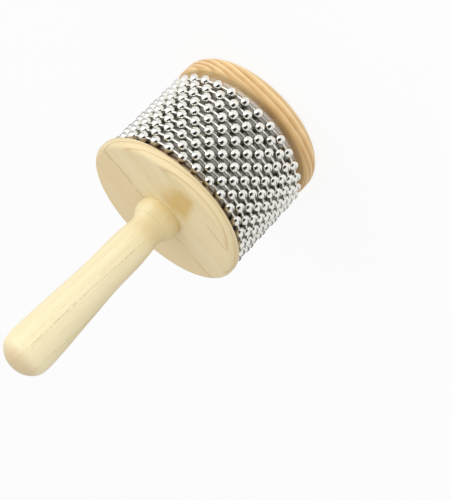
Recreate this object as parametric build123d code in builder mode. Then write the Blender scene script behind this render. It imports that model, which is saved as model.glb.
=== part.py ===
# A wooden cabasa: ten loops of steel ball chain turn round a drum between two wooden plates.
# Lengths are in millimetres. The outer plate stands on Z = 0 and the handle points up along +Z.
import os
from math import cos, radians, sin, sqrt, tan

from build123d import *

os.makedirs("parts", exist_ok=True)

# Head: the two plates, with the drum between them
head_length = 71.1
front_plate_radius = 43.5
front_plate_thickness = 7.3
front_face_rounding = 2.7
front_back_rounding = 3.0
rear_plate_radius = 41.9
rear_plate_thickness = 10.8
rear_outer_rounding = 5.0
rear_inner_rounding = 1.8

# Drum, and the steel sheet rolled round it
drum_radius = 36.2
sleeve_thickness = 0.4
sleeve_seam = 0.5
sleeve_end_gap = 0.2
sheet_clearance = 0.05

# Handle, measured from the front plate's face
handle_length = 104.1
grip_radius = 12.15
neck_radius = 9.1
collar_radius = 11.9
collar_foot_radius = 11.2
collar_top_radius = 10.3
collar_height = 8.2
tenon_radius = 8.0
tenon_length = 32.0
tenon_chamfer = 1.0
glue_clearance = 0.05
tenon_end_gap = 0.3

# Outline of the grip above its neck: heights as shares of the handle's length, and radii as shares
# of the step from the neck's radius to the grip's
grip_height_shares = (0.175, 0.38, 0.57, 0.72, 0.83, 0.895)
grip_swell_shares = (0.0, 0.17, 0.46, 0.77, 0.98, 1.0)
# Outline of the rounded end: heights as before, and radii as shares of the grip's radius
end_height_shares = (0.937, 0.966, 0.988)
end_radius_shares = (0.94, 0.76, 0.49)

# Ball chain: hollow beads, joined by links with a round head inside each bead
loop_count = 10
beads_per_loop = 30
bead_radius = 2.38
bead_wall = 0.35
link_radius = 0.6
link_hole_clearance = 0.1
link_head_radius = 0.95
link_seat_clearance = 0.05
loop_spacing = 4.8
loop_slack = 0.3
first_loop_depth = 11.96
# How far each loop has turned, as a share of the angle from one bead to the next
loop_turn_shares = (0.12, 0.61, 0.12, 0.63, 0.12, 0.62, 0.11, 0.74, 0.17, 0.79)

# Countersunk screw that holds the outer plate on the drum
screw_length = 30.0
screw_shank_radius = 2.0
screw_head_radius = 4.0
screw_head_angle = 90.0
screw_head_sink = 0.3
screw_clearance = 0.1
screw_end_gap = 0.5
screw_tip_length = 4.0
recess_depth = 1.7
recess_width = 1.1
recess_span = 4.4
recess_taper = 12.0

# Every cut runs past the surface that it opens by this much
overrun = 1.0

# Levels and radii that follow from the sizes above
face_level = head_length
drum_top = head_length - front_plate_thickness
drum_bottom = rear_plate_thickness
drum_length = drum_top - drum_bottom
sleeve_inner_radius = drum_radius + sheet_clearance
sleeve_outer_radius = sleeve_inner_radius + sleeve_thickness
tenon_bore_radius = tenon_radius + glue_clearance
tenon_bottom = face_level - tenon_length
screw_hole_radius = screw_shank_radius + screw_clearance


# Handle: its outline, from the tenon's foot to the rounded end, turned round the axis
grip_outline = [
    (neck_radius + swell * (grip_radius - neck_radius), face_level + height * handle_length)
    for height, swell in zip(grip_height_shares, grip_swell_shares)
]
end_outline = [
    (share * grip_radius, face_level + height * handle_length)
    for height, share in zip(end_height_shares, end_radius_shares)
]
collar_foot = (collar_foot_radius, face_level)
collar_middle = (collar_radius, face_level + collar_height / 2)
collar_top = (collar_top_radius, face_level + collar_height)
handle_top = (0, face_level + handle_length)
with BuildPart() as handle:
    with BuildSketch(Plane.XZ):
        with BuildLine():
            Polyline(
                handle_top,
                (0, tenon_bottom),
                (tenon_radius - tenon_chamfer, tenon_bottom),
                (tenon_radius, tenon_bottom + tenon_chamfer),
                (tenon_radius, face_level),
                collar_foot,
            )
            ThreePointArc(collar_foot, collar_middle, collar_top)
            Spline(collar_top, *grip_outline, *end_outline, handle_top, tangents=[(-1, 1), (-1, 0)])
        make_face()
    revolve(axis=Axis.Z)
handle.part.label = "handle"
export_step(handle.part, "parts/handle.step")


# Front plate: a thin rounded disc that the tenon passes through
with BuildPart() as front_plate:
    with BuildSketch(Plane.XY.offset(drum_top)):
        Circle(front_plate_radius)
    extrude(amount=front_plate_thickness)
    fillet(front_plate.edges().sort_by(Axis.Z)[-1], front_face_rounding)
    fillet(front_plate.edges().sort_by(Axis.Z)[0], front_back_rounding)
    with BuildSketch(Plane.XY.offset(face_level + overrun)):
        Circle(tenon_bore_radius)
    extrude(amount=-(front_plate_thickness + 2 * overrun), mode=Mode.SUBTRACT)
front_plate.part.label = "front_plate"
export_step(front_plate.part, "parts/front_plate.step")


# Rear plate: thicker, well rounded on its outer edge, with a countersunk hole in its outer face
with BuildPart() as rear_plate:
    with BuildSketch(Plane.XY):
        Circle(rear_plate_radius)
    extrude(amount=rear_plate_thickness)
    fillet(rear_plate.edges().sort_by(Axis.Z)[0], rear_outer_rounding)
    fillet(rear_plate.edges().sort_by(Axis.Z)[-1], rear_inner_rounding)
    with Locations(Plane(origin=(0, 0, screw_head_sink), z_dir=(0, 0, -1))):
        CounterSinkHole(
            radius=screw_hole_radius,
            counter_sink_radius=screw_head_radius + screw_clearance,
            depth=rear_plate_thickness + overrun,
            counter_sink_angle=screw_head_angle,
        )
rear_plate.part.label = "rear_plate"
export_step(rear_plate.part, "parts/rear_plate.step")


# Drum: a wooden block with a blind bore for the tenon and a pilot hole for the screw
with BuildPart() as drum:
    with BuildSketch(Plane.XY.offset(drum_bottom)):
        Circle(drum_radius)
    extrude(amount=drum_length)
    with BuildSketch(Plane.XY.offset(drum_top + overrun)):
        Circle(tenon_bore_radius)
    extrude(amount=-(drum_top + overrun - tenon_bottom + tenon_end_gap), mode=Mode.SUBTRACT)
    with BuildSketch(Plane.XY.offset(drum_bottom - overrun)):
        Circle(screw_hole_radius)
    extrude(
        amount=screw_head_sink + screw_length + screw_end_gap - (drum_bottom - overrun),
        mode=Mode.SUBTRACT,
    )
drum.part.label = "drum"
export_step(drum.part, "parts/drum.step")


# Sleeve: steel sheet rolled round the drum, with a narrow open seam on the side away from -Y
with BuildPart() as sleeve:
    with BuildSketch(Plane.XY.offset(drum_bottom + sleeve_end_gap)):
        Circle(sleeve_outer_radius)
        Circle(sleeve_inner_radius, mode=Mode.SUBTRACT)
        with Locations((0, sleeve_inner_radius)):
            Rectangle(sleeve_seam, 2 * (sleeve_thickness + overrun), mode=Mode.SUBTRACT)
    extrude(amount=drum_length - 2 * sleeve_end_gap)
sleeve.part.label = "sleeve"
export_step(sleeve.part, "parts/sleeve.step")


# Rear screw: countersunk head with a cross recess, plain shank and pointed tip
screw_cone_height = (screw_head_radius - screw_shank_radius) / tan(radians(screw_head_angle / 2))
screw_tip_level = screw_head_sink + screw_length
with BuildPart() as rear_screw:
    with BuildSketch(Plane.XZ):
        with BuildLine():
            Polyline(
                (0, screw_head_sink),
                (screw_head_radius, screw_head_sink),
                (screw_shank_radius, screw_head_sink + screw_cone_height),
                (screw_shank_radius, screw_tip_level - screw_tip_length),
                (0, screw_tip_level),
                close=True,
            )
        make_face()
    revolve(axis=Axis.Z)
    for slot_turn in (0, 90):
        with BuildSketch(Plane.XY.offset(screw_head_sink)):
            Rectangle(recess_span, recess_width, rotation=slot_turn)
        extrude(amount=recess_depth, taper=recess_taper, mode=Mode.SUBTRACT)
rear_screw.part.label = "rear_screw"
export_step(rear_screw.part, "parts/rear_screw.step")


# One bead of the chain, on the +X side of its loop. Its two holes face its neighbours' centres, so
# each leans inwards from the tangent by half the angle from bead to bead.
bead_circle_radius = sleeve_outer_radius + loop_slack + bead_radius
bead_angle = 360 / beads_per_loop
lean = radians(bead_angle / 2)
cavity_radius = bead_radius - bead_wall
link_hole_radius = link_radius + link_hole_clearance
with BuildPart() as bead:
    with Locations((bead_circle_radius, 0, 0)):
        Sphere(bead_radius)
        Sphere(cavity_radius, mode=Mode.SUBTRACT)
    for side in (-1, 1):
        with BuildSketch(Plane(origin=(bead_circle_radius, 0, 0), z_dir=(-sin(lean), side * cos(lean), 0))):
            Circle(link_hole_radius)
        extrude(amount=bead_radius + overrun, mode=Mode.SUBTRACT)

# One link, on the straight line from that bead's centre to the next. Each round head rests inside its
# bead against the rim of the hole, which it can't pass.
centre_distance = 2 * bead_circle_radius * sin(lean)
hole_rim_distance = sqrt(cavity_radius**2 - link_hole_radius**2)
head_seat = sqrt((link_head_radius + link_seat_clearance) ** 2 - link_hole_radius**2)
head_reach = centre_distance / 2 - (hole_rim_distance - head_seat)
link_middle = Vector(bead_circle_radius * cos(lean) ** 2, bead_circle_radius * cos(lean) * sin(lean), 0)
link_plane = Plane(origin=link_middle, z_dir=(-sin(lean), cos(lean), 0))
with BuildPart() as link:
    with BuildSketch(link_plane.offset(-head_reach)):
        Circle(link_radius)
    extrude(amount=2 * head_reach)
    with Locations(link_plane.offset(-head_reach), link_plane.offset(head_reach)):
        Sphere(link_head_radius)

# A whole ring of beads and its ring of links
with BuildPart() as bead_ring:
    with PolarLocations(0, beads_per_loop):
        add(bead.part)
with BuildPart() as link_ring:
    with PolarLocations(0, beads_per_loop):
        add(link.part)

# Ten loops, from the front plate down, each at its own height and turned by its own share
for number, turn_share in enumerate(loop_turn_shares[:loop_count]):
    loop_level = face_level - first_loop_depth - number * loop_spacing
    loop_place = Location((0, 0, loop_level), (0, 0, turn_share * bead_angle - 90))
    for ring, kind in ((bead_ring, "beads"), (link_ring, "links")):
        with BuildPart() as loop:
            with Locations(loop_place):
                add(ring.part)
        name = f"loop_{number + 1:02d}_{kind}"
        loop.part.label = name
        export_step(loop.part, f"parts/{name}.step")

stack_bottom = loop_level - bead_radius
print("bead circle radius", round(bead_circle_radius, 3))
print("bead to bead", round(centre_distance, 3))
print("free space at the front plate", round(first_loop_depth - front_plate_thickness - bead_radius, 3))
print("free space at the rear plate", round(stack_bottom - drum_bottom, 3))
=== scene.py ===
# %% [markdown]
# # A wooden cabasa
# A cabasa is a hand shaker. Loops of steel ball chain lie round a drum that is wrapped in steel sheet,
# and the player turns the drum against the beads with the handle.
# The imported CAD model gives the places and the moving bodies. This script gives them their looks.
# Everything is in metres, with the outer plate on the floor and the handle pointing up.

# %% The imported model
import math

import bmesh
import bpy
import numpy as np
from mathutils import Matrix, Vector


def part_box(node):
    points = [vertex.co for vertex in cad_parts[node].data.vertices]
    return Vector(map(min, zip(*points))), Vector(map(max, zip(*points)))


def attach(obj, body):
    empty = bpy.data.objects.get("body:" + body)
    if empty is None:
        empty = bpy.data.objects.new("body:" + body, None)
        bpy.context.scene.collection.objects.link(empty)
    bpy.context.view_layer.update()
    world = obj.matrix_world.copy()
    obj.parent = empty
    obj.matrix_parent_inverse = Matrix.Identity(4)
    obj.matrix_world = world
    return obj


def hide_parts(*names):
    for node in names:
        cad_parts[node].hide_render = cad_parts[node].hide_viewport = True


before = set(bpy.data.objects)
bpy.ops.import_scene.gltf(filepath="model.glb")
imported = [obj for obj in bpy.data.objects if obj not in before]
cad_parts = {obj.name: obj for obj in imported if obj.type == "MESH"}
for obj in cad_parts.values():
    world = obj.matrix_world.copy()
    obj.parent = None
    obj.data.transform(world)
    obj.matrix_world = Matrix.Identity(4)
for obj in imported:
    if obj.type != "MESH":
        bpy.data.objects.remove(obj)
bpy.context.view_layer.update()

# %% [markdown]
# ## From arrays to meshes
# Nearly every piece here is a grid of points that bends round in space: a turned profile, a sheet, a
# bead. So one helper joins a grid's neighbours into four-sided faces. It can close the grid in either
# direction. Points that fall together, as at the tip of the handle, are merged, and a shape that came
# out with its faces inwards is turned the right way, which its signed volume tells.

# %% Grid to mesh
mm = 0.001


def signed_volume(mesh):
    """Sum of corner · (corner × corner) / 6 over the triangles, above zero when faces point out."""
    mesh.calc_loop_triangles()
    points = np.empty(len(mesh.vertices) * 3)
    mesh.vertices.foreach_get("co", points)
    corners = np.empty(len(mesh.loop_triangles) * 3, dtype=int)
    mesh.loop_triangles.foreach_get("vertices", corners)
    a, b, c = points.reshape(-1, 3)[corners.reshape(-1, 3)].transpose(1, 0, 2)
    return float(np.einsum("ij,ij->i", a, np.cross(b, c)).sum() / 6)


def grid_faces(rows, columns, close_rows=False, close_columns=False):
    """Face (i, j) joins points (i, j), (i, j+1), (i+1, j+1) and (i+1, j), counted round where closed."""
    i = np.arange(rows if close_rows else rows - 1)[:, None]
    j = np.arange(columns if close_columns else columns - 1)[None, :]
    below, right = (i + 1) % rows, (j + 1) % columns
    corners = (i * columns + j, i * columns + right, below * columns + right, below * columns + j)
    return np.stack(np.broadcast_arrays(*corners), axis=-1).reshape(-1, 4)


def mesh_piece(name, points, faces, crease=40):
    """Makes an object from points and faces, with points that fall together merged and faces outwards.
    Edges that bend by more than crease degrees stay sharp."""
    mesh = bpy.data.meshes.new(name)
    mesh.from_pydata(points.reshape(-1, 3).tolist(), [], [list(face) for face in faces])
    merge_points(mesh)
    if signed_volume(mesh) < 0:
        mesh.flip_normals()
    mesh.shade_smooth()
    mesh.set_sharp_from_angle(angle=math.radians(crease))
    piece = bpy.data.objects.new(name, mesh)
    bpy.context.scene.collection.objects.link(piece)
    print(f"{name}: {len(mesh.vertices)} points, {len(mesh.polygons)} faces")
    return piece


def merge_points(mesh, distance=1e-7):
    """Merges points that lie together, and drops the faces that this leaves without area."""
    working = bmesh.new()
    working.from_mesh(mesh)
    bmesh.ops.remove_doubles(working, verts=working.verts, dist=distance)
    bmesh.ops.dissolve_degenerate(working, edges=working.edges, dist=distance)
    working.to_mesh(mesh)
    working.free()


# %% [markdown]
# ## Turned wood
# The handle and both plates come off a lathe, so each is a profile carried round the Z axis. Blender's
# Screw modifier could do that, but a grid of angle and profile keeps the exact radii in plain numbers.
# A real turned piece is never perfectly round, so the radius also wavers by a few hundredths of a
# millimetre.

# %% A profile carried round the axis
def turned(name, radii, heights, segments=144, closed=False, waver=0.0):
    """Point (s, angle) = (r(s) cos angle, r(s) sin angle, z(s)), with r(s) less waver times a slow wave
    of two and three turns. closed joins the profile's end to its start."""
    angle = np.arange(segments) * (2 * math.pi / segments)
    r, z = np.asarray(radii)[:, None] * mm, np.asarray(heights)[:, None] * mm
    wave = 0.5 + 0.25 * np.sin(2 * angle + 40 * z) + 0.25 * np.sin(3 * angle - 55 * z + 1)
    r = r - waver * mm * wave * np.minimum(1, r / (8 * mm))
    points = np.stack([r * np.cos(angle), r * np.sin(angle), z + 0 * angle], axis=-1)
    faces = grid_faces(len(radii), segments, close_rows=closed, close_columns=True)
    return mesh_piece(name, points, faces)


def arc(centre, radius, start, stop, steps=9):
    """Points centre + radius (cos a, sin a), with a from start to stop in degrees."""
    a = np.radians(np.linspace(start, stop, steps))
    return np.stack([centre[0] + radius * np.cos(a), centre[1] + radius * np.sin(a)], axis=-1)


def line(start, stop, steps=2):
    """Points on the straight line from start to stop."""
    return np.linspace(start, stop, steps)


# %% [markdown]
# ## The handle
# One piece of pale wood: a collar ring that meets the front plate, a waisted neck, a grip that swells
# towards a rounded end, and a tenon that is glued into the drum. Its outline goes through a few measured
# radii. A clamped cubic spline passes through them all with no flat spots, which a chain of arcs would
# have.

# %% A smooth curve through measured points
def smooth_curve(knots, first, last, steps):
    """Clamped cubic spline: on each span the point is a cubic whose slope and bend match its neighbour's,
    with unit slopes first and last at the ends, over the distance from knot to knot."""
    knots = np.asarray(knots, dtype=float)
    gap = np.linalg.norm(np.diff(knots, axis=0), axis=1)
    count = len(knots)
    system, right = np.eye(count), np.zeros((count, 2))
    right[0], right[-1] = np.asarray(first) / np.linalg.norm(first), np.asarray(last) / np.linalg.norm(last)
    k = np.arange(1, count - 1)
    system[k, k - 1], system[k, k], system[k, k + 1] = gap[k], 2 * (gap[k - 1] + gap[k]), gap[k - 1]
    rise = np.diff(knots, axis=0) / gap[:, None]
    right[1:-1] = 3 * (gap[k, None] * rise[k - 1] + gap[k - 1, None] * rise[k])
    slope = np.linalg.solve(system, right)
    along = np.concatenate([[0], np.cumsum(gap)])
    place = np.linspace(0, along[-1], steps)
    span = np.clip(np.searchsorted(along, place, side="right") - 1, 0, count - 2)
    h = gap[span][:, None]
    u = (place - along[span])[:, None] / h
    return (
        knots[span] * (1 + 2 * u) * (1 - u) ** 2
        + knots[span + 1] * (3 - 2 * u) * u**2
        + h * slope[span] * u * (1 - u) ** 2
        - h * slope[span + 1] * u**2 * (1 - u)
    )


# %% The handle's outline
plate_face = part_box("front_plate")[1].z / mm
handle_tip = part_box("handle")[1].z / mm
tenon_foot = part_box("handle")[0].z / mm
handle_length = handle_tip - plate_face
neck_radius, grip_radius = 9.1, 12.15
grip_shares = np.array([[0.175, 0.0], [0.38, 0.17], [0.57, 0.46], [0.72, 0.77], [0.83, 0.98], [0.895, 1.0]])
end_shares = np.array([[0.937, 0.94], [0.966, 0.76], [0.988, 0.49]])
collar_foot, collar_belly, collar_top = (11.2, plate_face), (11.9, plate_face + 4.1), (10.3, plate_face + 8.2)
tenon_radius, tenon_chamfer = 8, 1
groove_steps = [(0, 0), (-0.45, 0.2), (-0.55, 0.5)]
groove_height = 0.9
grip_knots = [
    collar_top,
    *np.stack([neck_radius + grip_shares[:, 1] * (grip_radius - neck_radius),
               plate_face + grip_shares[:, 0] * handle_length], axis=-1),
    *np.stack([end_shares[:, 1] * grip_radius, plate_face + end_shares[:, 0] * handle_length], axis=-1),
    (0, handle_tip),
]
grip = smooth_curve(grip_knots, (-1, 1), (-1, 0), 110)
grip[-1] = (0, handle_tip)


def arc_through(a, b, c, steps):
    """Points on the circle through a, b and c, from a to c: the centre is as far from all three."""
    a, b, c = (np.asarray(point, dtype=float) for point in (a, b, c))
    centre = np.linalg.solve(2 * np.array([b - a, c - a]), np.array([b @ b - a @ a, c @ c - a @ a]))
    start, stop = (np.degrees(np.arctan2(*(point - centre)[::-1])) for point in (a, c))
    return arc(centre, np.linalg.norm(a - centre), start, stop, steps)


collar = arc_through(collar_foot, collar_belly, collar_top, 11)
tenon = np.array([
    (0, tenon_foot), (tenon_radius - tenon_chamfer, tenon_foot),
    (tenon_radius, tenon_foot + tenon_chamfer), (tenon_radius, plate_face),
])
groove = np.array(collar_top) + np.array(groove_steps)
grip = grip[grip[:, 1] > collar_top[1] + groove_height]
outline = np.concatenate([tenon, collar[:-1], groove, grip])
handle = turned("turned_handle", outline[:, 0], outline[:, 1], segments=128, waver=0.04)

# %% [markdown]
# ## The plates
# Two discs of board. The front one is thin with softly rounded edges and a bore for the tenon. The rear
# one is thicker, and its outer edge is rounded well over, so that it rests kindly in the palm. It has a
# countersunk hole for the screw. Both profiles are closed loops, because a hole runs through each disc.

# %% Plate profiles
def plate_profile(low, high, radius, low_rounding, high_rounding, hole):
    """Closed loop of (radius, height): up the hole's own points, out along the top, round the two rounded
    edges and back along the bottom."""
    top = [line((hole[-1][0] + 0.4, high), (radius - high_rounding, high), 14)]
    rim = [
        arc((radius - high_rounding, high - high_rounding), high_rounding, 90, 0, 11),
        line((radius, high - high_rounding), (radius, low + low_rounding), 5)[1:-1],
        arc((radius - low_rounding, low + low_rounding), low_rounding, 0, -90, 13),
    ]
    bottom = [line((radius - low_rounding, low), (hole[0][0] + 0.4, low), 14)[1:]]
    return np.concatenate([np.asarray(hole, dtype=float), *top, *rim, *bottom])


front_low, front_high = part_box("front_plate")
rear_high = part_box("rear_plate")[1]
bore = 8.05
front_hole = [(bore, front_low.z / mm), (bore, front_high.z / mm)]
front_outline = plate_profile(
    front_low.z / mm, front_high.z / mm, front_high.x / mm,
    low_rounding=3.0, high_rounding=2.7, hole=front_hole,
)
front_plate = turned("front_disc", front_outline[:, 0], front_outline[:, 1], closed=True, waver=0.03)

sink, screw_bore, sink_lip = 4.1, 2.1, 0.3
rear_hole = [
    (sink, 0), (sink, sink_lip), (screw_bore, sink_lip + sink - screw_bore), (screw_bore, rear_high.z / mm)
]
rear_outline = plate_profile(
    0, rear_high.z / mm, rear_high.x / mm,
    low_rounding=5.0, high_rounding=1.8, hole=rear_hole,
)
rear_plate = turned("rear_disc", rear_outline[:, 0], rear_outline[:, 1], closed=True, waver=0.03)

# %% [markdown]
# ## The steel sheet
# A strip of thin steel is rolled round the drum, and its two ends nearly meet in a narrow seam on the far
# side. It is a band with a thickness, open at the seam.

# %% A rolled sheet
def rolled_sheet(name, inner, outer, low, high, seam, steps=180, ranks=9):
    """Point (angle, corner) with the angle from one side of the seam, on +Y, round to the other. The
    corners run up the outer side and down the inner one, and a flat cap closes each end."""
    half = seam / 2 / outer
    angle = np.linspace(math.pi / 2 + half, math.pi * 5 / 2 - half, steps)[:, None]
    heights = np.linspace(low, high, ranks)
    r = np.concatenate([np.full(ranks, outer), np.full(ranks, inner)])[None, :]
    z = np.concatenate([heights, heights[::-1]])[None, :] + 0 * angle
    points = np.stack([r * np.cos(angle), r * np.sin(angle), z], axis=-1) * mm
    corners = 2 * ranks
    faces = grid_faces(steps, corners, close_columns=True).tolist()
    faces += [list(range(corners))[::-1], list(range((steps - 1) * corners, steps * corners))]
    return mesh_piece(name, points, faces, crease=30)


sleeve_low, sleeve_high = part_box("sleeve")
sleeve = rolled_sheet(
    "steel_sheet", inner=36.25, outer=36.65, low=sleeve_low.z / mm, high=sleeve_high.z / mm, seam=0.5
)

# %% [markdown]
# ## The ball chain
# Ten closed loops of thirty hollow beads. Each bead is pressed from sheet, with a hole at both ends, and a
# short rod with a round head at each end ties it to the next. There are three hundred beads, so each has
# only a few dozen faces. The eye reads a bead by what it mirrors, so the faces take their shading
# directions from the sphere, and the low count doesn't show. The directions also lean a little outwards.
# That is an aid to the look and no part of the shape: it lets the bright part of what a bead mirrors reach
# nearly to its rim.
#
# The loops hang a little loose on the side that was down, so the beads there sit further out.

# %% Where the beads sit
bead_count, bead_radius, bead_circle = 30, 2.54, 39.33
bead_step = 2 * math.pi / bead_count
hole_radius, rim_depth = 0.7, 0.5
mirror_lean = 0.2
loop_turns = (0.12, 0.61, 0.12, 0.63, 0.12, 0.62, 0.11, 0.74, 0.17, 0.79)
first_loop_depth, loop_spacing = 11.96, 4.8
slack_depth, slack_angle, slack_half_width = 1.7, math.radians(157), math.radians(62)


def bead_centres(angles, level):
    """The bead circle, plus slack (1 + cos(pi · share of the half width)) / 2 round the slack's middle."""
    away = np.abs(np.angle(np.exp(1j * (angles - slack_angle)))) / slack_half_width
    radius = bead_circle + slack_depth * (1 + np.cos(math.pi * np.minimum(away, 1))) / 2
    return np.stack([radius * np.cos(angles), radius * np.sin(angles), np.full(len(angles), level)], axis=-1)


# %% One loop's beads
def bead_ring(name, level, start, around=12, bands=5):
    """Unit vector p(theta, a) = cos theta · chain + sin theta (cos a · outward + sin a · up). Each is then
    leant inwards by tan(half a bead step) · |p · chain| and made a unit again, so that both holes face
    their neighbours. The point is the centre + radius · p, and the two poles sit a little inside."""
    angles = start + np.arange(bead_count) * bead_step
    outward = np.stack([np.cos(angles), np.sin(angles), 0 * angles], axis=-1)
    tangent = np.stack([-np.sin(angles), np.cos(angles), 0 * angles], axis=-1)
    up = np.array([0.0, 0.0, 1.0])
    edge = math.asin(hole_radius / bead_radius)
    theta = np.concatenate([[0], np.linspace(edge, math.pi - edge, bands + 1), [math.pi]])
    a = (np.arange(around) + 0.5) * 2 * math.pi / around
    T, A = np.meshgrid(theta, a, indexing="ij")
    p = (
        np.cos(T)[None, :, :, None] * tangent[:, None, None, :]
        + (np.sin(T) * np.cos(A))[None, :, :, None] * outward[:, None, None, :]
        + (np.sin(T) * np.sin(A))[None, :, :, None] * up
    )
    lean = math.tan(bead_step / 2) * np.abs(np.cos(T))[None, :, :, None]
    p = p - lean * outward[:, None, None, :]
    p /= np.linalg.norm(p, axis=-1, keepdims=True)
    reach = np.full(len(theta), bead_radius)
    reach[[0, -1]] -= rim_depth
    centre = bead_centres(angles, level)
    points = (centre[:, None, None, :] + reach[None, :, None, None] * p) * mm
    size = len(theta) * around
    one = grid_faces(len(theta), around, close_columns=True)
    faces = (one[None] + (np.arange(bead_count) * size)[:, None, None]).reshape(-1, 4)
    return shaded_ring(name, points, faces, angles[0], level)


def shaded_ring(name, points, faces, start, level):
    """As mesh_piece, then each face corner away from the poles takes its shading direction from the
    sphere: the unit line u from its bead's centre, leant outwards to u + mirror_lean · outward."""
    piece = mesh_piece(name, points, faces, crease=60)
    mesh = piece.data
    place = np.empty(len(mesh.vertices) * 3)
    mesh.vertices.foreach_get("co", place)
    place = place.reshape(-1, 3)
    steps = np.round((np.arctan2(place[:, 1], place[:, 0]) - start) / bead_step)
    centre = bead_centres(start + steps * bead_step, level) * mm
    radial = place - centre
    distance = np.linalg.norm(radial, axis=1)
    on_sphere = distance > (bead_radius - 0.01) * mm
    outward = centre * (1, 1, 0)
    outward /= np.linalg.norm(outward, axis=1, keepdims=True)
    radial = radial / distance[:, None] + mirror_lean * outward
    radial /= np.linalg.norm(radial, axis=1, keepdims=True)
    corner_vertex = np.empty(len(mesh.loops), dtype=int)
    mesh.loops.foreach_get("vertex_index", corner_vertex)
    starts = np.empty(len(mesh.polygons), dtype=int)
    totals = np.empty(len(mesh.polygons), dtype=int)
    mesh.polygons.foreach_get("loop_start", starts)
    mesh.polygons.foreach_get("loop_total", totals)
    flat = np.empty(len(mesh.polygons) * 3)
    mesh.polygons.foreach_get("normal", flat)
    face_of_corner = np.repeat(np.arange(len(starts)), totals)
    face_round = np.add.reduceat(on_sphere[corner_vertex].astype(int), starts) == totals
    use = face_round[face_of_corner][:, None]
    normals = np.where(use, radial[corner_vertex], flat.reshape(-1, 3)[face_of_corner])
    mesh.normals_split_custom_set(normals.tolist())
    return piece


# %% One loop's links
link_radius, head_radius, head_shoulder, head_reach = 0.6, 0.95, 0.67, 2.92


def link_ring(name, level, start, around=8):
    """A rod along the chord from bead to bead, with a round head at each end that hides in its bead:
    point (s, a) = middle + s · chord + r(s) (cos a · outward + sin a · up)."""
    centre = bead_centres(start + np.arange(bead_count + 1) * bead_step, level)
    tangent = np.diff(centre, axis=0)
    tangent /= np.linalg.norm(tangent, axis=1, keepdims=True)
    outward = tangent[:, [1, 0, 2]] * (1, -1, 1)
    up = np.array([0.0, 0.0, 1.0])
    neck = math.sqrt(head_radius**2 - link_radius**2)
    s = np.array([-head_reach - head_radius, -head_reach - head_shoulder, -head_reach, -head_reach + neck])
    r = np.array([0, head_shoulder, head_radius, link_radius])
    s, r = np.concatenate([s, -s[::-1]]), np.concatenate([r, r[::-1]])
    a = np.arange(around) * 2 * math.pi / around
    middle = (centre[1:] + centre[:-1]) / 2
    points = (
        middle[:, None, None, :]
        + s[None, :, None, None] * tangent[:, None, None, :]
        + (r[:, None] * np.cos(a))[None, :, :, None] * outward[:, None, None, :]
        + (r[:, None] * np.sin(a))[None, :, :, None] * up
    ) * mm
    one = grid_faces(len(s), around, close_columns=True)
    faces = (one[None] + (np.arange(bead_count) * len(s) * around)[:, None, None]).reshape(-1, 4)
    return mesh_piece(name, points, faces, crease=50)


# %% All ten loops
bead_rings, link_rings = [], []
for number, turn in enumerate(loop_turns):
    loop_level = plate_face - first_loop_depth - number * loop_spacing
    start = turn * bead_step - math.pi / 2
    bead_rings.append(bead_ring(f"ball_chain_{number + 1:02d}_beads", loop_level, start))
    link_rings.append(link_ring(f"ball_chain_{number + 1:02d}_rods", loop_level, start))
print("beads:", bead_count * len(bead_rings))

# %% [markdown]
# ## Which body each piece rides on
# The handle, plates, sheet, drum and screw are one body, the head. Each loop of chain is a body of its own
# that turns about the drum. A piece rides on its body, stands for its CAD node, and names the record's
# material slot that it belongs to. The drum and the screw keep their CAD shapes.

# %% Bodies and stand-ins
for piece, node, slot in (
    (handle, "handle", "handle_wood"),
    (front_plate, "front_plate", "front_plate_wood"),
    (rear_plate, "rear_plate", "rear_plate_wood"),
    (sleeve, "sleeve", "sleeve_steel"),
):
    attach(piece, "head")
    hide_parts(node)
for number, (beads, links) in enumerate(zip(bead_rings, link_rings)):
    for piece, kind in ((beads, "beads"), (links, "links")):
        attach(piece, f"loop_{number + 1:02d}")
        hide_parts(f"loop_{number + 1:02d}_{kind}")

# %% [markdown]
# ## Shader maths as plain expressions
# A material is a graph of nodes, and long graphs are hard to read as code. So a socket is wrapped in a
# small class that knows plus, minus, times and so on. An expression such as 1 - mask * 0.3 then adds the
# Math nodes by itself. Every other node comes from one method that sets the node's own settings first and
# its sockets next.

# %% Sockets that can be added and multiplied
class Wire:
    """A shader socket that can be used in an expression of numbers."""

    def __init__(self, finish, socket):
        self.finish, self.socket = finish, socket

    def maths(self, operation, *others, first=None):
        values = [self if first is None else first, *others]
        inputs = {index: value for index, value in enumerate(values)}
        return self.finish.node("Math", {"operation": operation}, inputs)

    def __add__(self, other):
        return self.maths("ADD", other)

    def __sub__(self, other):
        return self.maths("SUBTRACT", other)

    def __rsub__(self, other):
        return self.maths("SUBTRACT", self, first=other)

    def __mul__(self, other):
        return self.maths("MULTIPLY", other)

    def __truediv__(self, other):
        return self.maths("DIVIDE", other)

    def __pow__(self, other):
        return self.maths("POWER", other)

    __radd__, __rmul__ = __add__, __mul__


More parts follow.
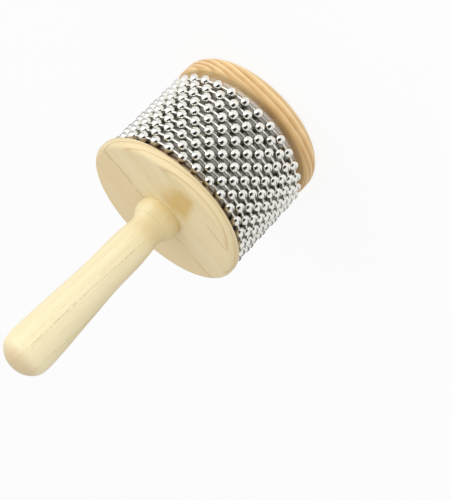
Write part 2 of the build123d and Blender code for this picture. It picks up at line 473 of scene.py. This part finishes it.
# %% One finish, and the nodes that build it
class Graph:
    """A tree of nodes, and the one method that adds a node to it."""

    def __init__(self, tree):
        self.tree = tree

    def plug(self, node, inputs):
        """Sets or links each named socket of a node."""
        for name, value in inputs.items():
            name = name.replace("Ior", "IOR") if isinstance(name, str) else name
            if isinstance(value, Wire):
                self.tree.links.new(value.socket, node.inputs[name])
            else:
                node.inputs[name].default_value = value

    def node(self, kind, settings=None, inputs=None, output=0):
        """Adds a node, with its settings and then its sockets. Returns one output, if it has any."""
        made = self.tree.nodes.new("ShaderNode" + kind)
        for name, value in (settings or {}).items():
            setattr(made, name, value)
        self.plug(made, inputs or {})
        return Wire(self, made.outputs[output]) if made.outputs else None

    def place(self):
        """Object coordinates in millimetres, as x, y and z."""
        coordinates = self.node("TexCoord", output=3)
        return [self.node("SeparateXYZ", inputs={0: coordinates}, output=k) * 1000 for k in range(3)]

    def vector(self, x, y, z):
        return self.node("CombineXYZ", inputs={0: x, 1: y, 2: z})

    def noise(self, vector, scale=1.0, detail=2.0, roughness=0.5):
        """Soft noise about 0.5, at scale cells to each unit of the vector."""
        inputs = {"Vector": vector, "Scale": scale, "Detail": detail, "Roughness": roughness}
        return self.node("TexNoise", {}, inputs)

    def ease(self, value, low, high, start=0.0, stop=1.0):
        """Start below low, stop above high, and an S-curve between them."""
        settings = {"interpolation_type": "SMOOTHSTEP"}
        return self.node("MapRange", settings, {"Value": value, 1: low, 2: high, 3: start, 4: stop})

    def blend(self, factor, first, second):
        """first where factor is 0, second where it is 1, as colours."""
        return self.node("Mix", {"data_type": "RGBA"}, {0: factor, 6: first, 7: second}, output=2)

    def bump(self, height, strength, distance):
        return self.node("Bump", {}, {"Strength": strength, "Distance": distance, "Height": height})

    def seen_white(self):
        """1 for a ray from the camera, off a mirror or through glass, and 0 for any other."""
        kinds = ("Camera", "Glossy", "Transmission")
        rays = [self.node("LightPath", output=f"Is {kind} Ray") for kind in kinds]
        return rays[0].maths("MAXIMUM", rays[1]).maths("MAXIMUM", rays[2])


class Finish(Graph):
    """A material with one main shader, whose fixed values are given by name."""

    def __init__(self, name, **surface):
        self.material = bpy.data.materials.new(name)
        self.material.use_nodes = True
        super().__init__(self.material.node_tree)
        self.shader = self.tree.nodes["Principled BSDF"]
        self.plug(self.shader, {key.replace("_", " ").title(): value for key, value in surface.items()})

    def mixed(self, factor, first, second):
        """Shows the shader first where factor is 0, and second where it is 1."""
        mix = self.node("MixShader", inputs={0: factor, 1: first, 2: second})
        self.plug(self.tree.nodes["Material Output"], {0: mix})


def written(red, green, blue):
    """A colour as it is written in a picture, 0 to 255, turned into the shader's linear light."""
    value = np.array([red, green, blue]) / 255
    linear = np.where(value <= 0.04045, value / 12.92, ((value + 0.055) / 1.055) ** 2.4)
    return (*linear.tolist(), 1.0)


# %% [markdown]
# ## Wood
# Wood is a solid pattern, and the lathe or saw only uncovers it: growth rings round a far-off pith, fibres
# along the grain and pores that open as short dark dashes. So the finish reads Object coordinates in all
# three directions, and the same rings show on a face and on its edge. Each piece works out its own ring
# number, and one function turns ring number and grain direction into colour, roughness and relief.

# %% The wood finish
def wood(finish, rings, across, along, pale, deep, line_colour, line_width=0.10, line_strength=0.5,
         pores=0.5, contrast=1.0):
    """Colour from the ring number: pale just after each whole number, deeper towards the next, with a thin
    line at its end. across is a pair of places at right angles to the grain and along is the place on it."""
    share = rings.maths("FRACT")
    late = finish.ease(share, 0.25, 0.95) * (1 - finish.ease(share, 0.96, 1.0))
    line_mask = finish.ease(share, 1 - line_width, 1 - line_width / 3) * (1 - finish.ease(share, 0.97, 1.0))
    fine_place = finish.vector(across[0] * 1.7, across[1] * 1.7, along * 0.045)
    fine = finish.noise(fine_place, detail=4, roughness=0.6)
    broad = finish.noise(finish.vector(across[0] * 0.16, across[1] * 0.16, along * 0.02), detail=2)
    dash = finish.noise(finish.vector(across[0] * 2.6, across[1] * 2.6, along * 0.17), detail=1)
    dashes = finish.ease(dash, 0.66, 0.74) * pores
    tone = finish.ease(broad, 0.3, 0.7) * 0.35 + late * (0.65 * contrast)
    colour = finish.blend(tone, pale, deep)
    colour = finish.blend(line_mask * line_strength * finish.ease(broad, 0.25, 0.6), colour, line_colour)
    streak = finish.ease(fine, 0.35, 0.75, 0.0, 0.16)
    colour = finish.blend(streak, colour, line_colour)
    colour = finish.blend(dashes, colour, line_colour)
    height = fine * 0.5 - dashes * 0.8 - line_mask * 0.2
    normal = finish.bump(height, 0.35, 0.00012)
    rough = 0.44 + fine * 0.16 + dashes * 0.1
    finish.plug(finish.shader, {"Base Color": colour, "Roughness": rough, "Normal": normal})
    return colour


def warped(finish, across, along, amount, scale=0.045):
    """A slow drift of the rings, in millimetres, that is drawn out along the grain."""
    drift = finish.noise(finish.vector(across[0] * scale, across[1] * scale, along * scale * 0.35), detail=2)
    return (drift - 0.5) * (2 * amount)


# %% [markdown]
# ### The handle's wood
# Cream-coloured and close-grained. The rings are nearly flat sheets that stand along the handle and lean a
# little, so they show as a few long lines of short dark dashes. The cut fibres at the rounded end drink
# more finish and look tanner.

# %% Handle finish
finish = Finish("handle_cream_wood", coat_weight=0.12, coat_roughness=0.3, specular_ior_level=0.4)
x, y, z = finish.place()
drift = warped(finish, (x, y), z, 1.3, 0.06)
sheet_place = x - (z - 166) * 0.055 + y * y * 0.004 + drift
rings = (sheet_place - 1.0) / 4.6 + 20
base = wood(
    finish, rings, (x, y), z,
    pale=written(243, 231, 193), deep=written(235, 219, 172), line_colour=written(196, 172, 116),
    line_width=0.05, line_strength=0.12, pores=0.0, contrast=0.4,
)
dash = finish.noise(finish.vector(x * 1.5, y * 1.5, z * 0.5), detail=3, roughness=0.75)
lines = 0
for line_place, width, strength in ((1.0, 0.4, 0.9), (3.7, 0.3, 0.45), (8.9, 0.3, 0.3), (-8.4, 0.3, 0.8)):
    beside = (sheet_place - line_place).maths("ABSOLUTE")
    lines = finish.ease(beside, width * 0.3, width, strength, 0.0) + lines
dashes = finish.ease(dash, 0.48, 0.56) * lines * finish.ease(z, 84.0, 100.0)
end_grain = finish.ease(z, handle_tip - 7, handle_tip - 1)
base = finish.blend(dashes * 0.55, base, written(176, 152, 94))
# Painted shade: the collar and the neck just above it are painted a darker olive tan, (214, 192, 134), most
# on the side away from the lamp.
collar_painted_shade = finish.ease(z, 81.0, 93.0, 0.62, 0.0) * finish.ease(x, 1.0, 9.0, 1.0, 0.3)
base = finish.blend(collar_painted_shade, base, written(214, 192, 134))
base = finish.blend(end_grain * 0.75, base, written(212, 186, 146))
finish.plug(finish.shader, {"Base Color": base})
handle.data.materials.append(finish.material)

# %% [markdown]
# ### The front plate's wood
# A flat-sawn board with wide, faint rings. The sheets of growth rise slowly across the board, so each one
# crosses the face as a soft slanting edge and shows on the rim as a thin brown line. Beside the handle is a
# honey-coloured patch with one crisp side.

# %% Front plate finish
finish = Finish("front_plate_pale_wood", coat_weight=0.12, coat_roughness=0.3, specular_ior_level=0.4)
x, y, z = finish.place()
grain_cos, grain_sin, ring_gap = 0.945, 0.327, 3.25
across_face = y * grain_cos + x * grain_sin
along_face = x * grain_cos - y * grain_sin
depth = z - plate_face
drift = warped(finish, (across_face, depth), along_face, 0.7, 0.05)
on_rim = finish.ease((x * x + y * y) ** 0.5, 40.0, 42.0)
rings = (depth - (across_face - 4) * 0.175 + drift) / ring_gap + 20
base = wood(
    finish, 0 - rings, (across_face, depth), along_face,
    pale=written(236, 219, 176), deep=written(229, 208, 160), line_colour=written(198, 160, 106),
    line_width=0.06, line_strength=on_rim * 0.65 + 0.04, pores=0.1, contrast=0.45,
)
beside_ring = ((rings + 0.5).maths("FRACT") - 0.5).maths("ABSOLUTE") * ring_gap
base = finish.blend(finish.ease(beside_ring, 0.1, 0.6, 0.42, 0.0) * on_rim, base, written(200, 164, 112))
wander_place = finish.vector(along_face * 0.06, across_face * 0.02, 0.0)
wander = (finish.noise(wander_place, detail=4, roughness=0.55) - 0.5) * 7
patchy = finish.noise(finish.vector(along_face * 0.09, across_face * 0.09, 3.0), detail=1)
face_place = across_face + wander
beyond = finish.ease(face_place, 3.4, 4.2)
base = finish.blend(beyond * 0.55, base, written(226, 200, 152))
for edge_place, width, strength in ((3.6, 1.8, 0.55), (-13.5, 1.1, 0.2), (-32.0, 1.1, 0.55)):
    beside = (face_place - edge_place).maths("ABSOLUTE")
    mark = finish.ease(beside, 0.0, width, strength, 0.0) * finish.ease(patchy, 0.3, 0.5)
    base = finish.blend(mark * (1 - on_rim), base, written(194, 166, 114))
wobble = (finish.noise(finish.vector(x * 0.16, y * 0.16, 0.0), detail=4, roughness=0.6) - 0.5) * 9
edge_wobble = (finish.noise(finish.vector(x * 0.45, y * 0.45, 7.0), detail=3) - 0.5) * 3
right_side = finish.ease(x + y * 0.08 + edge_wobble, -14.2, -10.0)
left_side = 1 - finish.ease(x + wobble, -2.0, 9.0)
near_side = 1 - finish.ease(y + wobble, -19.0, -11.0)
far_side = finish.ease(y - x * 0.3 + wobble, -38.0, -29.0)
honey = right_side * left_side * near_side * far_side
base = finish.blend(honey * 0.85, base, written(214, 180, 110))
finish.plug(finish.shader, {"Base Color": base})
front_plate.data.materials.append(finish.material)

# %% [markdown]
# ### The rear plate's wood
# Warm orange pine with bold rings. On the side that faces the viewer the board shows its end grain, so the
# rings arch across the thick rim, closer together on their flanks.

# %% Rear plate finish
finish = Finish("rear_plate_pine", coat_weight=0.15, coat_roughness=0.28, specular_ior_level=0.4)
x, y, z = finish.place()
pith_depth, ring_rate, ring_crowding = 96, 0.244, 0.00936
side = x + 11
flat = (side * side + 36) ** 0.5 - 6
drift = warped(finish, (x, z), y, 0.8, 0.05)
level = (flat * flat + (z + pith_depth) * (z + pith_depth)) ** 0.5 - pith_depth - 4.9 + drift
rings = level * ring_rate + level * level * ring_crowding + 20
base = wood(
    finish, rings + 0.15, (x, z), y,
    pale=written(242, 210, 156), deep=written(208, 162, 100), line_colour=written(184, 132, 74),
    line_width=0.2, line_strength=0.5, pores=0.1, contrast=1.2,
)
beside = ((rings + 0.5).maths("FRACT") - 0.5).maths("ABSOLUTE")
base = finish.blend(finish.ease(beside, 0.06, 0.24, 0.6, 0.0), base, written(250, 222, 174))
# Painted shade: the upper half of the rim and the face towards the drum are painted a darker orange brown,
# (198, 158, 102), less on the side towards the lamp.
painted_shade_near_drum = finish.ease(z, 4.0, 9.0, 0.0, 0.42) + finish.ease(z, 9.4, 10.6, 0.0, 0.4)
painted_shade_near_drum = painted_shade_near_drum * finish.ease(x, 15.0, 32.0, 1.0, 0.2)
base = finish.blend(painted_shade_near_drum, base, written(198, 158, 102))
# Painted light: the low outer rounding, down by the floor, is painted paler, (252, 228, 178).
base = finish.blend(finish.ease(z, 1.5, 5.5, 0.6, 0.0), base, written(252, 228, 178))
# Painted light: the face towards the drum is painted paler, (238, 206, 148), on both sides away from x = -14
# mm.
painted_light_inner_face = finish.ease((x + 14).maths("ABSOLUTE"), 10.0, 28.0) * finish.ease(z, 10.2, 10.7)
base = finish.blend(painted_light_inner_face * 0.6, base, written(238, 206, 148))
finish.plug(finish.shader, {"Base Color": base})
rear_plate.data.materials.append(finish.material)

# %% The drum's plain wood
finish = Finish("drum_plain_wood", specular_ior_level=0.4)
x, y, z = finish.place()
rings = ((x + 60) * (x + 60) + y * y) ** 0.5 / 4 + warped(finish, (x, y), z, 0.3)
wood(
    finish, rings, (x, y), z,
    pale=written(214, 188, 142), deep=written(190, 156, 106), line_colour=written(150, 112, 68),
)
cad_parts["drum"].data.materials.clear()
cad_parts["drum"].data.materials.append(finish.material)

# %% [markdown]
# ## Steel
# The beads and their rods are polished and plated, so they mirror their surroundings. Two things keep them
# from looking like a computer's perfect chrome: the polish varies from bead to bead, and each bead's
# underside, towards the sheet, is rougher and painted a darker grey as painted shade. That mark depends
# only on the distance from the drum's axis, so it turns with the beads.

# %% Chain finish
finish = Finish("polished_bead_steel", metallic=1.0)
x, y, z = finish.place()
from_axis = (x * x + y * y) ** 0.5
# Painted shade: each bead's underside, towards the sheet, is painted a darker grey, (195, 192, 187), and is
# rougher.
painted_shade_underside = finish.ease(from_axis, 36.9, 37.7, 1.0, 0.0)
cloud = finish.noise(finish.vector(x * 0.35, y * 0.35, z * 0.35), detail=2)
grit = finish.noise(finish.vector(x, y, z), scale=3.0, detail=3)
steel = finish.blend(finish.ease(cloud, 0.3, 0.7), written(246, 244, 238), written(236, 234, 227))
steel = finish.blend(painted_shade_underside, steel, written(195, 192, 187))
rough = 0.07 + cloud * 0.06 + painted_shade_underside * 0.15
finish.plug(finish.shader, {
    "Base Color": steel, "Roughness": rough, "Normal": finish.bump(grit, 0.04, 0.00003),
})
for piece in bead_rings + link_rings:
    piece.data.materials.append(finish.material)

# %% Sheet finish
finish = Finish("rolled_sheet_steel", metallic=1.0)
x, y, z = finish.place()
rubbed = finish.noise(finish.vector(x * 0.05, y * 0.05, z * 6.0), detail=4, roughness=0.65)
dull = finish.noise(finish.vector(x * 0.12, y * 0.12, z * 0.12), detail=2)
sheet_colour = finish.blend(finish.ease(rubbed, 0.3, 0.75), written(156, 154, 149), written(130, 128, 123))
# Painted reflection: the sheet just under the front plate is painted a warm brown, (176, 146, 112), as the
# plate's wood mirrored in it.
painted_wood_reflection = finish.ease(z, 58.5, 61.0)
sheet_colour = finish.blend(painted_wood_reflection * 0.7, sheet_colour, written(176, 146, 112))
# Painted light: the strip of sheet just above the rear plate is painted near white, (250, 249, 248), and is
# rougher.
painted_light_strip = finish.ease(z, 12.6, 13.8, 1.0, 0.0)
sheet_colour = finish.blend(painted_light_strip, sheet_colour, written(250, 249, 248))
finish.plug(finish.shader, {
    "Base Color": sheet_colour,
    "Roughness": 0.12 + rubbed * 0.14 + dull * 0.06 + painted_light_strip * 0.2,
    "Normal": finish.bump(rubbed * 0.25 + dull * 1.5, 0.12, 0.00008),
})
sleeve.data.materials.append(finish.material)

# %% Screw finish
finish = Finish("zinc_screw", metallic=1.0)
x, y, z = finish.place()
mottle = finish.noise(finish.vector(x, y, z), scale=0.9, detail=3)
finish.plug(finish.shader, {
    "Base Color": finish.blend(mottle, written(196, 196, 190), written(168, 168, 164)),
    "Roughness": 0.26 + mottle * 0.16,
    "Normal": finish.bump(mottle, 0.1, 0.00005),
})
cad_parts["rear_screw"].data.materials.clear()
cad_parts["rear_screw"].data.materials.append(finish.material)

# %% [markdown]
# ## The studio
# A plain white floor under the part and a white world behind it. The camera, and anything that mirrors or
# lets light through, sees them at full white. The floor still takes a faint shadow, because only part of
# what the camera sees there is the flat white. The lamps stay at the level at which a colour renders about
# as it is written.

# %% Floor and world
world = bpy.data.worlds.new("studio_world")
bpy.context.scene.world = world
world.use_nodes = True
world.node_tree.nodes.clear()
sky = Graph(world.node_tree)
sky_white = (1.0, 1.0, 1.0, 1.0)
lit_strength, seen_strength = 0.75, 1.0
lighting = sky.node("Background", inputs={"Color": sky_white, "Strength": lit_strength})
seen = sky.node("Background", inputs={"Color": sky_white, "Strength": seen_strength})
sky.node("OutputWorld", inputs={0: sky.node("MixShader", inputs={0: sky.seen_white(), 1: lighting, 2: seen})})

half_floor, glow_share = 6.0, 0.88
floor_mesh = bpy.data.meshes.new("floor")
floor_corners = half_floor * np.array([(-1, -1, 0), (1, -1, 0), (1, 1, 0), (-1, 1, 0)])
floor_mesh.from_pydata(floor_corners.tolist(), [], [[0, 1, 2, 3]])
floor = bpy.data.objects.new("floor", floor_mesh)
bpy.context.scene.collection.objects.link(floor)
finish = Finish("white_floor", base_color=(0.92, 0.92, 0.92, 1), roughness=0.9, specular_ior_level=0.0)
painted = Wire(finish, finish.shader.outputs[0])
finish.mixed(finish.seen_white() * glow_share, painted, finish.node("Emission"))
floor_mesh.materials.append(finish.material)

# %% [markdown]
# ## The camera
# The photograph looks down on the front plate from about 24 degrees, and is turned so that the handle
# points to the lower left. The rotation is written as the camera's own three axes.

# %% Camera
right = (-0.7331239, -0.2721378, -0.6232739)
up = (0.6800951, -0.2933571, -0.6718722)
back = (0.0, -0.9164511, 0.4001467)
eye = (-0.0342668, -0.5719313, 0.3116781)
camera_data = bpy.data.cameras.new("camera")
camera_data.lens, camera_data.sensor_width = 92.588, 36.0
camera_data.clip_start, camera_data.clip_end = 0.01, 50.0
camera = bpy.data.objects.new("camera", camera_data)
bpy.context.scene.collection.objects.link(camera)
camera_turn = Matrix(np.array([right, up, back]).T.tolist()).to_4x4()
camera.matrix_world = Matrix.Translation(eye) @ camera_turn
bpy.context.scene.camera = camera

# %% [markdown]
# ## The lamps
# One large soft lamp stands to the side of the part that is the upper left of the picture. A smaller one,
# which nothing mirrors, fills in from the front. Polished beads show what stands round them, so four dark
# cloths stand where only mirrors see them. A card over the lens puts the small dark heart into every bead,
# two mats lie on the floor behind the part, and a tall screen greys the side away from the lamp. Each
# fades away at its edges, so that nothing mirrored ends in a hard line.

# %% Lamps
def lamp(name, direction, distance, size, watts, mirrored=True):
    """A square soft lamp at distance in direction from the head's middle, facing it."""
    data = bpy.data.lights.new(name, "AREA")
    data.shape, data.size, data.energy = "SQUARE", size, watts
    thing = bpy.data.objects.new(name, data)
    bpy.context.scene.collection.objects.link(thing)
    aim(thing, direction, distance)
    thing.visible_glossy = mirrored


def aim(thing, direction, distance, target=(0, 0, 0.07)):
    """Puts a thing at target + distance · direction, with its own -Z axis towards the target."""
    way = Vector(direction).normalized()
    place = Vector(target) + way * distance
    thing.matrix_world = Matrix.Translation(place) @ way.to_track_quat("Z", "Y").to_matrix().to_4x4()


lamp("key_lamp", (0.85, -0.50, 0.16), distance=1.5, size=2.0, watts=14.0)
lamp("front_lamp", (0.10, -0.95, 0.10), distance=1.4, size=1.2, watts=5.8, mirrored=False)


# %% Cloths that only mirrors see
def soft_step(value, low, high):
    """0 below low, 1 above high, and 3 t² - 2 t³ between them."""
    t = np.clip((value - low) / (high - low), 0, 1)
    return t * t * (3 - 2 * t)


def dark_card(name, points, darkness):
    """A black cloth on a grid of points, seen by mirrors alone. darkness, 0 to 1 at each point, lets its
    edges fade away."""
    mesh = bpy.data.meshes.new(name)
    mesh.from_pydata(points.reshape(-1, 3).tolist(), [], grid_faces(*darkness.shape).tolist())
    mesh.attributes.new("darkness", "FLOAT", "POINT").data.foreach_set("value", darkness.ravel())
    card = bpy.data.objects.new(name, mesh)
    bpy.context.scene.collection.objects.link(card)
    card.visible_camera = card.visible_diffuse = card.visible_shadow = card.visible_transmission = False
    mesh.materials.append(black_cloth.material)


black_cloth = Finish("black_cloth", base_color=(0.02, 0.02, 0.02, 1), roughness=0.8, specular_ior_level=0.0)
black_cloth.mixed(
    black_cloth.node("Attribute", {"attribute_name": "darkness"}, output=2),
    black_cloth.node("BsdfTransparent"), Wire(black_cloth, black_cloth.shader.outputs[0]),
)

# The card over the lens is laid out by its own picture in a bead. The place (x, y) on the bead's disc has
# the normal n = x right + y up + the rest back, which mirrors the direction 2 (n . back) n - back.
picture_middle, picture_turn, half_length, half_width = (-0.16, -0.18), math.radians(35), 0.60, 0.31
turn_cos, turn_sin = math.cos(picture_turn), math.sin(picture_turn)
fade_start, fade_end = 0.55, 1.15
card_distance, card_lift = 0.5, (0, 0, 0.05)
long_way, short_way = np.meshgrid(np.linspace(-fade_end, fade_end, 27), np.linspace(-fade_end, fade_end, 15))
x = picture_middle[0] + turn_cos * half_length * long_way - turn_sin * half_width * short_way
y = picture_middle[1] + turn_sin * half_length * long_way + turn_cos * half_width * short_way
rest = np.sqrt(np.maximum(1 - x * x - y * y, 0))
normal = np.stack([x, y, rest], axis=-1) @ np.array([right, up, back])
mirrored = 2 * (normal @ np.array(back))[..., None] * normal - np.array(back)
darkness = 1 - soft_step(np.hypot(long_way, short_way), fade_start, fade_end)
dark_card("card_over_the_lens", card_distance * mirrored + card_lift, darkness)

# A mat on the floor behind the part on either side, the darker one away from the lamp. Each lies at its
# own small height, so that no two planes meet.
mat_inner, mat_outer, mat_near, mat_far = 0.04, 0.6, -0.25, 0.6
for side, strength in ((-1, 0.8), (1, 0.45)):
    out, behind = np.meshgrid(np.linspace(mat_outer, mat_inner, 15), np.linspace(mat_near, mat_far, 18))
    mat = np.stack([side * out, behind, 0 * out + 0.001 * (2 + side)], axis=-1)
    darkness = soft_step(out, 0.06, 0.12) * soft_step(mat_outer - out, 0, 0.15)
    darkness = darkness * soft_step(behind, -0.2, 0.0) * (1 - soft_step(behind, 0.4, mat_far))
    dark_card(f"mat_{2 + side}_behind_the_part", mat, strength * darkness)

# A tall grey screen, bent round the side away from the lamp, that keeps that side of the beads from
# mirroring pure white
screen_radius, screen_darkness = 0.6, 0.14
screen_start, screen_stop, screen_foot, screen_top = -150, -25, 0.01, 0.8
screen_turn, screen_z = np.meshgrid(
    np.linspace(screen_start, screen_stop, 26), np.linspace(screen_foot, screen_top, 14)
)
screen_angle = np.radians(screen_turn)
screen = [screen_radius * np.sin(screen_angle), -screen_radius * np.cos(screen_angle), screen_z]
darkness = soft_step(screen_turn, screen_start, -120) * (1 - soft_step(screen_turn, -45, screen_stop))
darkness = screen_darkness * darkness * (1 - soft_step(screen_z, 0.5, screen_top))
dark_card("grey_screen", np.stack(screen, axis=-1), darkness)

# %% [markdown]
# ## Finish

# %% Finish
bpy.context.scene.view_settings.view_transform = "Standard"
